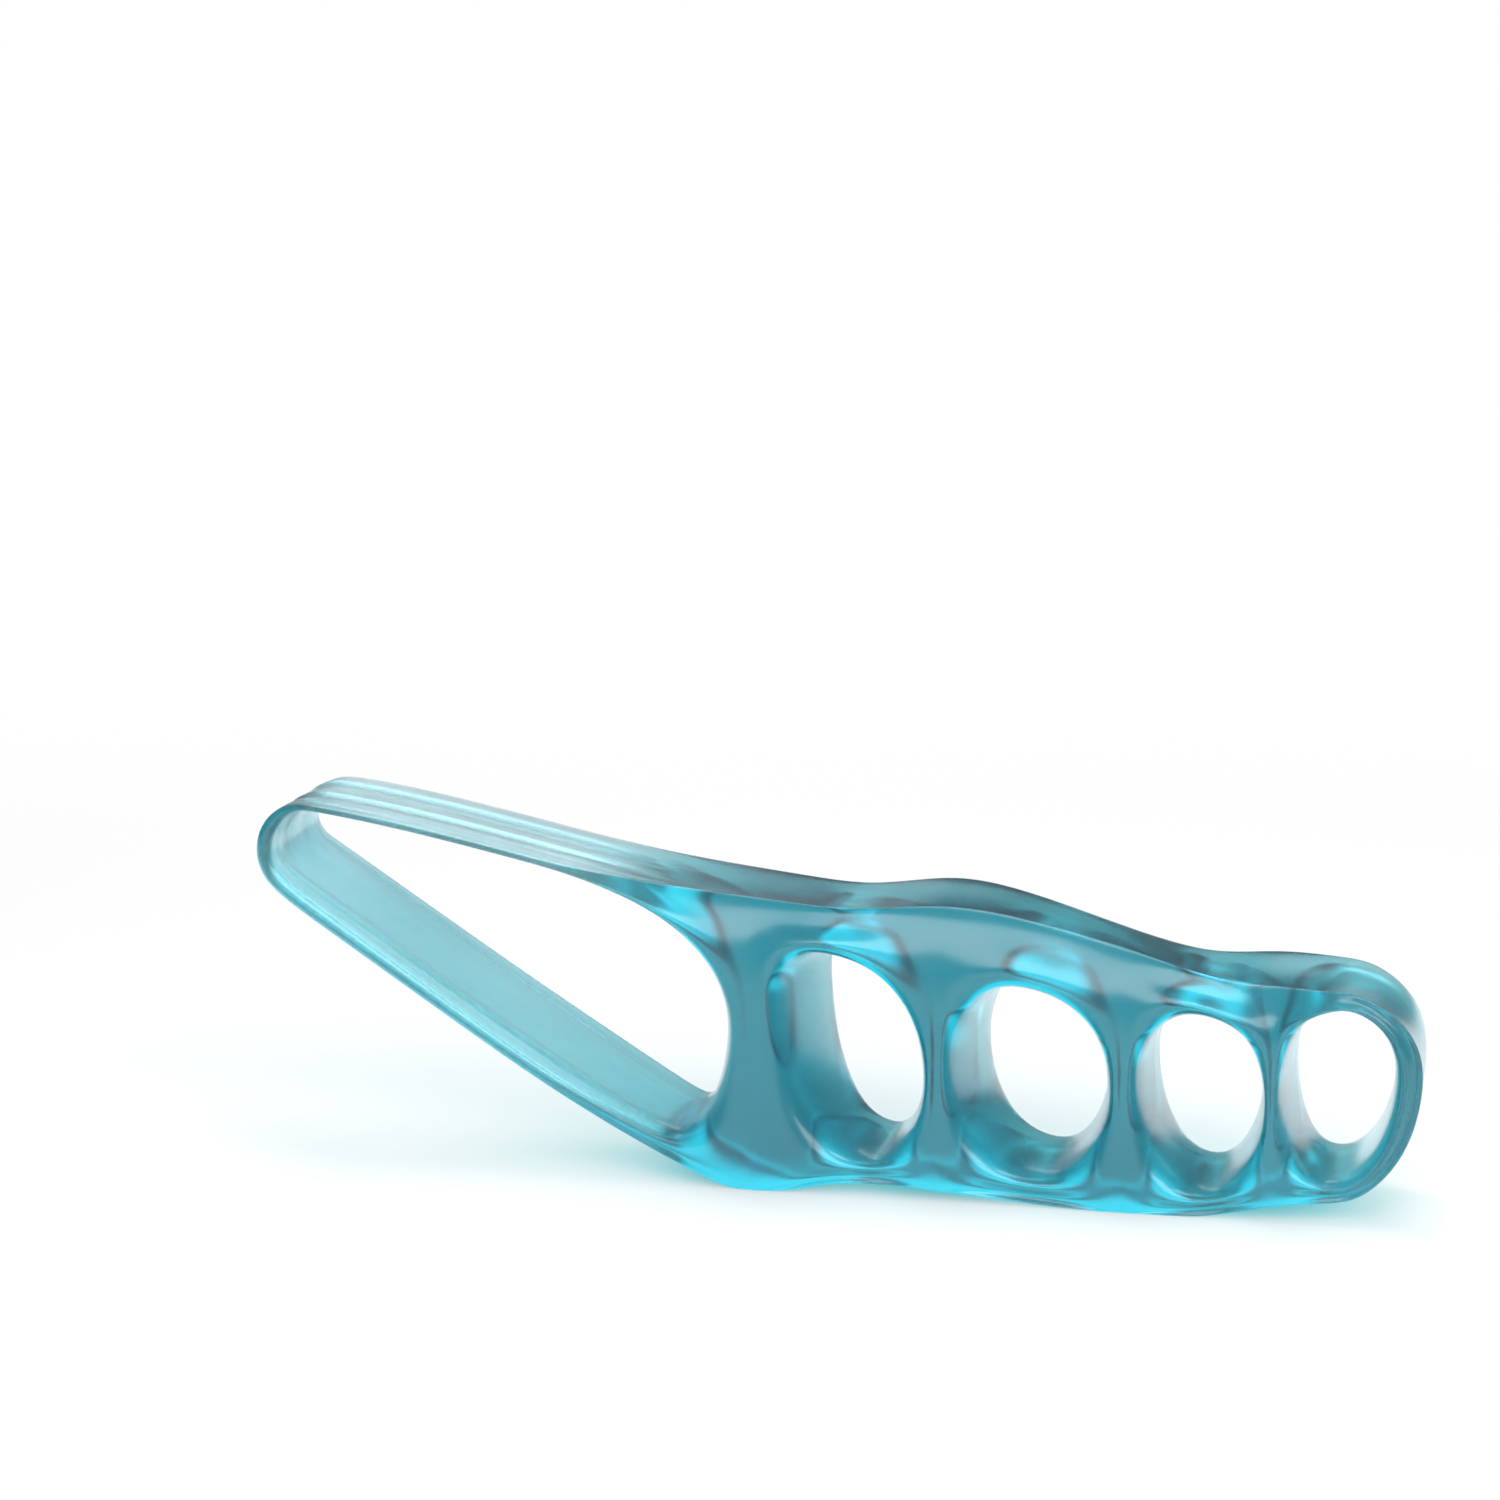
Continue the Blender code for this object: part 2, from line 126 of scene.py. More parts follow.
LOWER_STRAP = 2.4 * MM
UPPER_FILLET = 20.2 * MM
LOWER_FILLET = 9.0 * MM
UPPER_CORNER_TURN = math.radians(60)
LOWER_CORNER_TURN = math.radians(36)
FIRST_POST_WAIST_HEIGHT = 19.6 * MM
UPPER_SLOPES = (-0.12, -0.10)
LOWER_SLOPES = (-0.64, -0.47)
LOWER_STRAP_ROLL = math.radians(7.5)
ROLL_RUN = 0.4
STRAP_BLEND = 0.45
STRAP_EDGE_SHARE = 0.4

# Bead along the top: a sharper ridge above the shoulder, with a groove just behind it
BEAD_SHARE = 0.22
BEAD_WIDTH = 1.3 * MM
GROOVE_DEPTH = 0.8 * MM
BEAD_SHARPNESS = 0.35

# Soft valley between the hole rims and the shoulder, thinner tilted upper strap, and soft feet
VALLEY_DEPTH = 2.0 * MM
VALLEY_SHARE = 0.62
POST_HEAD_VALLEYS = np.array([2.0, 1.8, 1.6, 1.0]) * MM
POST_VALLEYS = np.array([0.9, 0.6, 0.6, 0.3]) * MM
POST_FOOT_VALLEYS = np.array([0.9, 0.9, 0.9, 0.6]) * MM
STRAP_THINNING = 1.1 * MM
FOOT_EASE = 0.25 * MM

# Ribs drawn out along the upper strap, and thick front and rear edges along the lower one
RIB_PITCHES = np.array([6.4, 3.7, 2.3, 1.5]) * MM
RIB_HEIGHTS = np.array([0.08, 0.07, 0.05, 0.03]) * MM
RIB_PHASES = np.array([0.4, 2.1, 4.4, 1.3])
RIB_DRIFTS = np.array([12.0, -18.0, 25.0, 40.0])
FRONT_EDGE_WIDTH = 3.2 * MM
FRONT_EDGE_RISE = 0.25 * MM
REAR_EDGE_WIDTH = 0.8 * MM
REAR_EDGE_RISE = 0.25 * MM
EDGE_STEP = 0.5 * MM

# Cage: columns on each of a hole's four sides, along a strap, round its fillets and round the tip
SIDE = 4
STRAP_COLUMNS = 7
UPPER_FILLET_COLUMNS = 3
LOWER_FILLET_COLUMNS = 2
TIP_COLUMNS = 6
WELD_GAP = 0.001 * MM
LEAST_TURN = 0.01

# Rounding: the solid's own level, at which the skin is centred as the solid is, and the skin's level
PLACING_LEVELS = 1
SMOOTH_LEVELS = 3

# Rows of the band's section that the posts end at, and the row on the bead
FRONT_FACE_ROW, BEAD_ROW, BACK_FACE_ROW, ROWS = 3, 5, 9, 12


def smooth_step(value, start, end):
    """0 before start, 1 after end, and between them 3u^2 - 2u^3 of the share u of the way."""
    u = np.clip((value - start) / (end - start), 0, 1)
    return u * u * (3 - 2 * u)


def hermite(u, start, end, start_slope, end_slope):
    """Cubic from start to end: a smooth blend of the two, plus each end's slope fading to nothing."""
    blend = smooth_step(u, 0, 1)
    return (start * (1 - blend) + end * blend
            + start_slope * u * (1 - u) ** 2 - end_slope * u * u * (1 - u))


posts = LOOP_REACH + POST_WAISTS[0] / 2 + np.concatenate(
    ([0], np.cumsum(HOLE_WIDTHS[:-1] + (POST_WAISTS[:-1] + POST_WAISTS[1:]) / 2)))
hole_lefts = posts + POST_WAISTS / 2
hole_rights = hole_lefts + HOLE_WIDTHS
hole_middles = (hole_lefts + hole_rights) / 2
floors = UNDERSIDE_AT_HOLES + FLOOR_WEBS
ceilings = floors + HOLE_HEIGHTS
crests = ceilings + TOP_WEBS
crests_at_posts = (np.concatenate((crests[:1], crests[:-1])) + crests) / 2 + CREST_RISES


def smooth_through(x, at_posts, at_holes):
    """A cubic spline in x through one value at each post and each hole, in turn."""
    knots = np.stack([posts, hole_middles], 1).ravel()
    values = np.stack([at_posts, at_holes], 1).ravel()
    slopes = np.gradient(values, knots)
    x = np.clip(x, knots[0], knots[-1])
    k = np.clip(np.searchsorted(knots, x) - 1, 0, len(knots) - 2)
    span = knots[k + 1] - knots[k]
    return hermite((x - knots[k]) / span, values[k], values[k + 1], slopes[k] * span, slopes[k + 1] * span)


def top_edge(x):
    """The bead's height at x."""
    return smooth_through(x, crests_at_posts, crests)


def underside(x):
    """The height of the moulding's underside at x."""
    return smooth_through(x, UNDERSIDE_AT_POSTS, UNDERSIDE_AT_HOLES)


def back_rise(x):
    """How much higher than the bead the top's rear edge is at x."""
    return smooth_through(x, BACK_RISES_AT_POSTS, BACK_RISES_AT_HOLES)


def top_shoulder(x):
    """How far under the bead the front face begins: less over the holes, where the web is thin."""
    at_posts = np.full(len(posts), SHOULDER)
    return smooth_through(x, at_posts, np.minimum(SHOULDER, TOP_WEBS * SHOULDER_SHARE))


def oval(hole, angle, flare_left, flare_right):
    """A hole's outline: quarter ellipses between its top, right, floor and left points, by angle."""
    left, right = hole_lefts[hole] + flare_left, hole_rights[hole] - flare_right
    middle, floor = (left + right) / 2, floors[hole]
    slant = (right - left) / HOLE_WIDTHS[hole]
    rightward, upward = np.sin(angle) >= 0, np.cos(angle) >= 0
    side_x = np.where(rightward, right, left)
    side_z = floor + np.where(rightward, HOLE_RIGHT_HEIGHTS[hole], HOLE_LEFT_HEIGHTS[hole])
    end_x = middle + slant * np.where(upward, HOLE_TOP_SHIFTS[hole], HOLE_FLOOR_SHIFTS[hole])
    end_z = np.where(upward, ceilings[hole], floor)
    x = end_x + (side_x - end_x) * np.abs(np.sin(angle))
    z = side_z + (end_z - side_z) * np.abs(np.cos(angle))
    return np.stack([x, z], 1)


def post_line(post, share):
    """Front and back points on a post's middle, at each share of the way from its foot to its head."""
    x = posts[post]
    foot, head = underside(x) + EDGE_ROUND, top_edge(x)
    front = foot + share * (head - top_shoulder(x) - foot)
    back = foot + share * (head + back_rise(x) - EDGE_ROUND - foot)
    x = np.full(np.shape(share), x)
    return np.stack([x, front], 1), np.stack([x, back], 1)


def post_valleys(post):
    """Valley depths down a post's middle, from head to foot: the bands on both its sides share them."""
    return np.array([POST_HEAD_VALLEYS[post], *[POST_VALLEYS[post]] * (SIDE - 1), POST_FOOT_VALLEYS[post]])


def end_wall(angle, x, z, normal):
    """The little toe's outer points, bent to an upper and a lower quarter ellipse round the end."""
    middle = hole_middles[-1]
    reach = hole_rights[-1] + END_WALL - middle
    widest = floors[-1] + HOLE_RIGHT_HEIGHTS[-1]
    bent = np.sin(angle) > LEAST_TURN
    rise = np.where(np.cos(angle) >= 0, top_edge(middle) - widest, widest - underside(middle))
    x = np.where(bent, middle + reach * np.sin(angle), x)
    z = np.where(bent, widest + rise * np.cos(angle), z)
    return x, z, np.where(bent[:, None], np.stack([np.sin(angle), np.cos(angle)], 1), normal)


def hole_band(hole):
    """The band round one toe hole: its inner and outer lines by column, clockwise from its top left."""
    step = np.arange(4 * SIDE)
    angle = (step / len(step) - 1 / 8) * 2 * math.pi
    side, share = np.divmod(step, SIDE)
    share = share / SIDE
    left = posts[hole]
    last = hole == len(HOLE_WIDTHS) - 1
    right = hole_rights[hole] + END_WALL if last else posts[hole + 1]
    x = np.choose(side, [left + share * (right - left), right, right + share * (left - right), left])
    over = (side == 0) | ((side == 1) & (share == 0))
    z = np.where(over, top_edge(x), underside(x))
    normal = np.stack([0 * x, np.where(over, 1.0, -1.0)], 1)
    post_front, post_back = post_line(hole, np.where(side == 3, share, 0.5))
    outside = (side != 3) | (share == 0)
    valley = np.full(len(step), VALLEY_DEPTH)
    valley[np.arange(3 * SIDE, 4 * SIDE + 1) % len(step)] = post_valleys(hole)[::-1]
    if last:
        x, z, normal = end_wall(angle, x, z, normal)
        right_flare = 0.0
    else:
        valley[SIDE:2 * SIDE + 1] = post_valleys(hole + 1)
        beside = (side == 1) & (share > 0)
        fronts, backs = post_line(hole + 1, 1 - share)
        post_front = np.where(beside[:, None], fronts, post_front)
        post_back = np.where(beside[:, None], backs, post_back)
        outside = outside & ~beside
        right_flare = POST_FLARES_LEFT[hole + 1]
    upper = np.clip(normal[:, 1], 0, 1)
    shoulder = EDGE_ROUND + upper * (top_shoulder(x) - EDGE_ROUND)
    return {
        "wall_front": oval(hole, angle, 0.0, 0.0),
        "wall_back": oval(hole, angle, POST_FLARES_RIGHT[hole], right_flare),
        "outer": np.stack([x, z], 1), "normal": normal,
        "post_front": post_front, "post_back": post_back, "outside": outside,
        "half": np.full(len(x), BODY_DEPTH / 2),
        "shoulder": shoulder, "setback": shoulder * RIDGE_SETBACK / SHOULDER,
        "edge": np.full(len(x), EDGE_ROUND),
        "rise": upper * back_rise(x), "dish": upper * TOP_DISH, "groove": upper * GROOVE_DEPTH,
        "valley": valley, "roll": 0 * x, "upper": upper, "strap": 0 * x,
    }


def strap(start, end, slopes):
    """A strap's outer line from the tip to the first post, and the normals on its upper side."""
    run = np.linspace(0, 1, STRAP_COLUMNS + 1)
    length = end[0] - start[0]
    x = start[0] + run * length
    z = hermite(run, start[1], end[1], slopes[0] * length, slopes[1] * length)
    slope = np.gradient(z, x, edge_order=2)
    return np.stack([x, z], 1), np.stack([-slope, np.ones_like(x)], 1) / np.hypot(slope, 1)[:, None]


def fillet_turns(corner_turn, fillet_columns, post_columns, waist):
    """Each column's angle round a fillet, from the strap to the post's waist at a right angle."""
    on_strap = np.linspace(0, corner_turn, fillet_columns + 1)[1:]
    on_post = np.linspace(corner_turn, math.pi / 2, post_columns + 1)[1:]
    return np.concatenate([on_strap, on_post if waist else on_post[:-1]])


def strap_inside(outside, normal, thick, fillet, turns, fillet_columns):
    """A strap's inner line: parallel to the outer one, then an elliptic fillet into the first post."""
    line = outside - normal * thick
    wall = posts[0] - POST_WAISTS[0] / 2
    straight = np.linspace(line[0, 0], wall - fillet, STRAP_COLUMNS + 1 - fillet_columns)
    turn = np.concatenate([0 * straight, turns])
    x = np.concatenate([straight, wall - fillet * (1 - np.sin(turns))])
    rise = FIRST_POST_WAIST_HEIGHT - np.interp(wall, line[:, 0], line[:, 1])
    z = np.interp(x, line[:, 0], line[:, 1]) + rise * (1 - np.cos(turn))
    return np.stack([x, z], 1), np.sin(turn) ** 2


def around(angle, radius, centre):
    """Points on a circle: the centre plus the radius times the angle's cosine and sine."""
    return centre + radius * np.stack([np.cos(angle), np.sin(angle)], -1)


def round_loop(upper, post, lower, tip):
    """Values by column: upper strap, down the first post, back along the lower strap, round the tip.

    Each of the four has a row for each of its columns, or one row or number for them all.
    """
    counts = STRAP_COLUMNS + 1, SIDE - 1, STRAP_COLUMNS + 1, TIP_COLUMNS - 1
    stretches = zip((upper, post, lower, tip), counts)
    return np.concatenate([np.broadcast_to(rows, (count, *np.shape(rows)[1:]))
                           for rows, count in stretches])


def drawn_loop():
    """The big toe's band: upper strap, first post, lower strap and half circle round the tip."""
    post_x = posts[0]
    centre = np.array([TIP_RADIUS + LOWER_STRAP, TIP_HEIGHT])
    upper_turn = math.pi / 2 + math.atan(UPPER_SLOPES[0])
    lower_turn = 3 * math.pi / 2 + math.atan(LOWER_SLOPES[0])
    upper_start = around(upper_turn, TIP_RADIUS + UPPER_STRAP, centre)
    lower_start = around(lower_turn, TIP_RADIUS + LOWER_STRAP, centre)
    upper, upper_normal = strap(upper_start, (post_x, top_edge(post_x)), UPPER_SLOPES)
    lower, lower_normal = strap(lower_start, (post_x, underside(post_x)), LOWER_SLOPES)
    upper_normal[-1] = lower_normal[-1] = (0, 1)
    upper_turns = fillet_turns(UPPER_CORNER_TURN, UPPER_FILLET_COLUMNS, SIDE // 2, True)
    lower_turns = fillet_turns(LOWER_CORNER_TURN, LOWER_FILLET_COLUMNS, SIDE - SIDE // 2, False)
    upper_inside, upper_flare = strap_inside(
        upper, upper_normal, UPPER_STRAP, UPPER_FILLET, upper_turns, UPPER_FILLET_COLUMNS)
    lower_inside, lower_flare = strap_inside(
        lower, -lower_normal, LOWER_STRAP, LOWER_FILLET, lower_turns, LOWER_FILLET_COLUMNS)

    tip = np.linspace(0, 1, TIP_COLUMNS + 1)[1:-1]
    tip_angle = lower_turn + tip * (upper_turn - lower_turn)
    tip_radius = TIP_RADIUS + (LOWER_STRAP + tip * (UPPER_STRAP - LOWER_STRAP))[:, None]
    tip_normal = around(tip_angle, 1.0, np.zeros(2))

    run = np.linspace(0, 1, STRAP_COLUMNS + 1)
    fronts, backs = post_line(0, 1 - np.arange(1, SIDE) / SIDE)
    no_post, sideways = [[0.0, 0.0]], [[1.0, 0.0]]
    outside = round_loop(True, False, True, True)
    along = round_loop(run, 1.0, run[::-1], 0.0)
    upper_part = round_loop(1.0, 0.5, 0.0, tip)
    near = smooth_step(along, 1 - STRAP_BLEND, 1)
    outer = round_loop(upper, fronts, lower[::-1], centre + tip_normal * tip_radius)
    normal = round_loop(upper_normal, sideways, -lower_normal[::-1], tip_normal)
    wall_front = np.concatenate([upper_inside, lower_inside[::-1], around(tip_angle, TIP_RADIUS, centre)])
    flare = np.concatenate([upper_flare, lower_flare[::-1], 0 * tip]) * POST_FLARES_LEFT[0]
    thinning = STRAP_THINNING * outside * upper_part * (1 - near)
    wall_front = wall_front + normal * thinning[:, None] / 2
    outer = outer - normal * thinning[:, None] / 2
    strap_edge = (UPPER_STRAP - thinning) * STRAP_EDGE_SHARE
    body_shoulder = EDGE_ROUND + upper_part * (top_shoulder(post_x) - EDGE_ROUND)
    body_setback = body_shoulder * RIDGE_SETBACK / SHOULDER
    valley = np.full(len(outside), VALLEY_DEPTH)
    valley[STRAP_COLUMNS:STRAP_COLUMNS + SIDE + 1] = post_valleys(0)
    return {
        "wall_front": wall_front, "wall_back": wall_front - np.stack([flare, 0 * flare], 1),
        "outer": outer, "normal": normal,
        "post_front": round_loop(no_post, fronts, no_post, no_post),
        "post_back": round_loop(no_post, backs, no_post, no_post),
        "outside": outside,
        "half": (STRAP_DEPTH + near * (BODY_DEPTH - STRAP_DEPTH)) / 2,
        "shoulder": strap_edge + near * (body_shoulder - strap_edge),
        "setback": strap_edge + near * (body_setback - strap_edge),
        "edge": strap_edge + near * (EDGE_ROUND - strap_edge),
        "rise": near * upper_part * back_rise(post_x),
        "dish": near * upper_part * TOP_DISH, "groove": near * upper_part * GROOVE_DEPTH,
        "valley": valley,
        "roll": (outside * LOWER_STRAP_ROLL * (1 - upper_part) * np.clip((1 - along) / ROLL_RUN, 0, 1)
                 - np.arctan(thinning / STRAP_DEPTH)),
        "upper": upper_part, "strap": 1 - near,
    }


def distance(start, end):
    """How far each point is from its partner, as a column."""
    return np.linalg.norm(end - start, axis=1, keepdims=True)


def band_surface(band):
    """Points by row and column: the section, from wall middle round the front, bead, top and back.

    Each row is a line round the hole at one depth. A column beside a post ends on the post's middle.
    A rolled strap leans along its normal, by the tangent of the roll times the depth.
    """
    wall_front, wall_back = band["wall_front"], band["wall_back"]
    outer, normal, half = band["outer"], band["normal"], band["half"]
    outside = band["outside"][:, None]
    shoulder, edge = band["shoulder"][:, None], band["edge"][:, None]
    rise, dish, groove = band["rise"][:, None], band["dish"][:, None], band["groove"][:, None]
    front_face = np.where(outside, outer - normal * shoulder, band["post_front"])
    back_face = np.where(outside, outer + normal * (rise - edge), band["post_back"])
    front_gap, back_gap = distance(wall_front, front_face), distance(wall_back, back_face)
    front_rim = np.minimum(RIM_ROUND, front_gap * RIM_SHARE) / front_gap
    back_rim = np.minimum(EDGE_ROUND, back_gap * RIM_SHARE) / back_gap
    rim_depth = np.minimum(RIM_ROUND, np.maximum(front_gap, EDGE_ROUND) * RIM_DEPTH_SHARE)[:, 0]
    valley = np.minimum(band["valley"], front_gap[:, 0] * VALLEY_SHARE) * (1 - band["strap"])
    setback = band["setback"]
    sections = [
        (wall_front + (wall_back - wall_front) * MIDDLE_FLARE, 0 * half),
        (wall_front, rim_depth - half),
        (wall_front + (front_face - wall_front) * front_rim, -half),
        (front_face, valley - half),
        (outer - normal * shoulder * BEAD_SHARE, setback * (1 - BEAD_SHARE) - half),
        (outer, setback - half),
        (outer - normal * groove, setback + BEAD_WIDTH - half),
        (outer - normal * dish, 0 * half),
        (outer + normal * rise, half - edge[:, 0]),
        (back_face, half),
        (wall_back + (back_face - wall_back) * back_rim, half),
        (wall_back, half - EDGE_ROUND),
    ]
    rows = np.stack([np.stack([p[:, 0], y, p[:, 1]], 1) for p, y in sections])
    lean = -np.tan(band["roll"]) * rows[:, :, 1]
    rows[:, :, 0] += lean * normal[:, 0]
    rows[:, :, 2] += lean * normal[:, 1]
    return rows


def band_quads(outside):
    """Quads between each column and the next, all round the section or only on the post's rows."""
    columns = len(outside)
    row, column = np.divmod(np.arange(ROWS * columns), columns)
    after, next_row = (column + 1) % columns, (row + 1) % ROWS
    on_post = (row < FRONT_FACE_ROW) | (row >= BACK_FACE_ROW)
    quads = np.stack([row * columns + column, row * columns + after,
                      next_row * columns + after, next_row * columns + column], 1)
    return quads[on_post | (outside[column] & outside[after])]


def read(items, name, width, kind):
    """A mesh layer as an array of one row for each item."""
    values = np.empty(len(items) * width, np.int32 if kind is int else np.float32)
    items.foreach_get(name, values)
    return values.reshape(-1, width).astype(kind)


def cage_of(bands):
    """One mesh of all the bands, welded where neighbours meet, with a crease along the bead."""
    points, quads, bead, upper, strapped, first = [], [], [], [], [], 0
    for band in bands:
        surface = band_surface(band)
        quads.append(band_quads(band["outside"]) + first)
        first += surface.shape[0] * surface.shape[1]
        points.append(surface.reshape(-1, 3))
        bead.append(np.outer(np.arange(ROWS) == BEAD_ROW, band["upper"] > 0).ravel())
        upper.append(np.tile(band["upper"], ROWS))
        strapped.append(np.tile(band["strap"], ROWS))
    used, quads = np.unique(np.concatenate(quads), return_inverse=True)
    mesh = bpy.data.meshes.new("gel_cage")
    mesh.from_pydata(np.concatenate(points)[used], [], quads.reshape(-1, 4).tolist())
    for name, values in (("bead", bead), ("upper", upper), ("strap", strapped)):
        layer = mesh.attributes.new(name, "FLOAT", "POINT")
        layer.data.foreach_set("value", np.concatenate(values)[used].astype(np.float32))
    welded = bmesh.new()
    welded.from_mesh(mesh)
    bmesh.ops.remove_doubles(welded, verts=welded.verts, dist=WELD_GAP)
    bmesh.ops.recalc_face_normals(welded, faces=welded.faces)
    welded.to_mesh(mesh)
    welded.free()
    ends = read(mesh.edges, "vertices", 2, int)
    on_bead = read(mesh.attributes["bead"].data, "value", 1, float)[:, 0] > 0.5
    crease = mesh.attributes.new("crease_edge", "FLOAT", "EDGE")
    sharp = np.where(on_bead[ends].all(1), BEAD_SHARPNESS, 0.0)
    crease.data.foreach_set("value", sharp.astype(np.float32))
    return mesh


def rounded(cage, levels):
    """A new mesh: the cage after that many levels of Subdivision Surface."""
    former = bpy.data.objects.new("former", cage)
    bpy.context.scene.collection.objects.link(former)
    rounding = former.modifiers.new("rounding", "SUBSURF")
    rounding.levels = rounding.render_levels = levels
    graph = bpy.context.evaluated_depsgraph_get()
    mesh = bpy.data.meshes.new_from_object(former.evaluated_get(graph))
    bpy.data.objects.remove(former)
    return mesh


def strap_relief(x, y, upper, on_strap):
    """How far a strap's surface stands out: cosine ribs on the upper one, thick edges on the lower one."""
    waves = 2 * math.pi * y[:, None] / RIB_PITCHES + RIB_PHASES + RIB_DRIFTS * x[:, None]
    half = STRAP_DEPTH / 2
    ribs = (RIB_HEIGHTS * np.cos(waves)).sum(1) * (1 - np.clip(np.abs(y) / half, 0, 1) ** 4)
    front = 1 - smooth_step(y, FRONT_EDGE_WIDTH - half, FRONT_EDGE_WIDTH + EDGE_STEP - half)
    rear = smooth_step(y, half - REAR_EDGE_WIDTH - EDGE_STEP, half - REAR_EDGE_WIDTH)
    edges = FRONT_EDGE_RISE * front + REAR_EDGE_RISE * rear
    return on_strap * (upper * ribs + (1 - upper) * edges)


def moulding():
    """The finished skin: rounded cage, with its straps' relief, set in the part's frame on a flat base.

    The base is pressed flat by taking, for each height, the mean of the height and the root of the sum
    of its square and FOOT_EASE's square.
    """
    cage = cage_of([drawn_loop()] + [hole_band(hole) for hole in range(len(HOLE_WIDTHS))])
    coarse = read(rounded(cage, PLACING_LEVELS).vertices, "co", 3, float)
    low, high = coarse.min(0), coarse.max(0)
    mesh = rounded(cage, SMOOTH_LEVELS)
    points = read(mesh.vertices, "co", 3, float)
    normals = read(mesh.vertex_normals, "vector", 3, float)
    upper = read(mesh.attributes["upper"].data, "value", 1, float)[:, 0]
    on_strap = read(mesh.attributes["strap"].data, "value", 1, float)[:, 0]
    relief = strap_relief(points[:, 0], points[:, 1], upper, on_strap)
    points += normals * relief[:, None]
    points -= ((low[0] + high[0]) / 2, (low[1] + high[1]) / 2, low[2] + FOOT_PRESS)
    points[:, 2] = (points[:, 2] + np.hypot(points[:, 2], FOOT_EASE)) / 2
    points[:, 2] -= points[:, 2].min()
    mesh.vertices.foreach_set("co", points.astype(np.float32).ravel())
    mesh.update()
    mesh.shade_smooth()
    return mesh


# The gel takes most red and some green out of light for each metre of its way through
GEL_ABSORBS = np.array([225.0, 50.0, 41.0])
GEL_IOR = 1.42
GEL_HAZE = 0.03
GEL_MIRRORING = 0.2
LAMPLIGHT_KEPT = 0.9

# The soft sheen of its skin, and faint clouds that change its tint and its roughness
SHEEN, SHEEN_ROUGHNESS = 0.55, 0.2
CLOUD_SCALE, CLOUD_DETAIL = 60.0, 3.0
CLOUD_ENDS = (0.3, 0.7)
CLOUD_TINTS = ((0.58, 0.73, 0.79, 1), (0.71, 0.82, 0.88, 1))
CLOUD_ROUGHNESS = (0.17, 0.29)

# Low waves that the mould leaves in the skin
WAVE_SCALE, WAVE_DETAIL = 90.0, 1.0
WAVE_STRENGTH, WAVE_HEIGHT = 0.3, 0.4 * MM


def noise(nodes, links, scale, detail):
    """Noise on the piece's own coordinates, from 0 to 1."""
    place = nodes.new("ShaderNodeTexCoord")
    pattern = nodes.new("ShaderNodeTexNoise")
    pattern.inputs["Scale"].default_value = scale
    pattern.inputs["Detail"].default_value = detail
    links.new(place.outputs["Object"], pattern.inputs["Vector"])
    return pattern.outputs["Fac"]


def maths(nodes, links, operation, *terms):
    """The result of one Math node on sockets and plain numbers, in the order of its inputs."""
    node = nodes.new("ShaderNodeMath")
    node.operation = operation
    for socket, term in zip(node.inputs, terms):
        if isinstance(term, float):
            socket.default_value = term
        else:
            links.new(term, socket)
    return node.outputs[0]


def add_clouds(nodes, links, shader):
    """Noise picks the tint between two colours and the roughness between two values."""
    cloud = noise(nodes, links, CLOUD_SCALE, CLOUD_DETAIL)
    tint = nodes.new("ShaderNodeValToRGB")
    for stop, position, colour in zip(tint.color_ramp.elements, CLOUD_ENDS, CLOUD_TINTS):
        stop.position, stop.color = position, colour
    links.new(cloud, tint.inputs["Fac"])
    links.new(tint.outputs["Color"], shader.inputs["Base Color"])
    rough = nodes.new("ShaderNodeMapRange")
    rough.inputs["To Min"].default_value, rough.inputs["To Max"].default_value = CLOUD_ROUGHNESS
    links.new(cloud, rough.inputs["Value"])
    links.new(rough.outputs["Result"], shader.inputs["Roughness"])


def add_waves(nodes, links, shader):
    """Noise raises and lowers the skin for its shading alone."""
    bump = nodes.new("ShaderNodeBump")
    bump.inputs["Strength"].default_value = WAVE_STRENGTH
    bump.inputs["Distance"].default_value = WAVE_HEIGHT
    links.new(noise(nodes, links, WAVE_SCALE, WAVE_DETAIL), bump.inputs["Height"])
    links.new(bump.outputs["Normal"], shader.inputs["Normal"])


def lamps_pass(nodes, links, shader):
    """The shader, replaced by plain see-through for rays to a lamp and rays off a matt surface."""
    ray = nodes.new("ShaderNodeLightPath")
    passing = maths(nodes, links, "MAXIMUM", ray.outputs["Is Shadow Ray"], ray.outputs["Is Diffuse Ray"])
    clear = nodes.new("ShaderNodeBsdfTransparent")
    clear.inputs["Color"].default_value = (LAMPLIGHT_KEPT, LAMPLIGHT_KEPT, LAMPLIGHT_KEPT, 1)
    through = nodes.new("ShaderNodeMixShader")
    links.new(passing, through.inputs[0])
    links.new(shader.outputs[0], through.inputs[1])
    links.new(clear.outputs[0], through.inputs[2])
    return through.outputs[0]


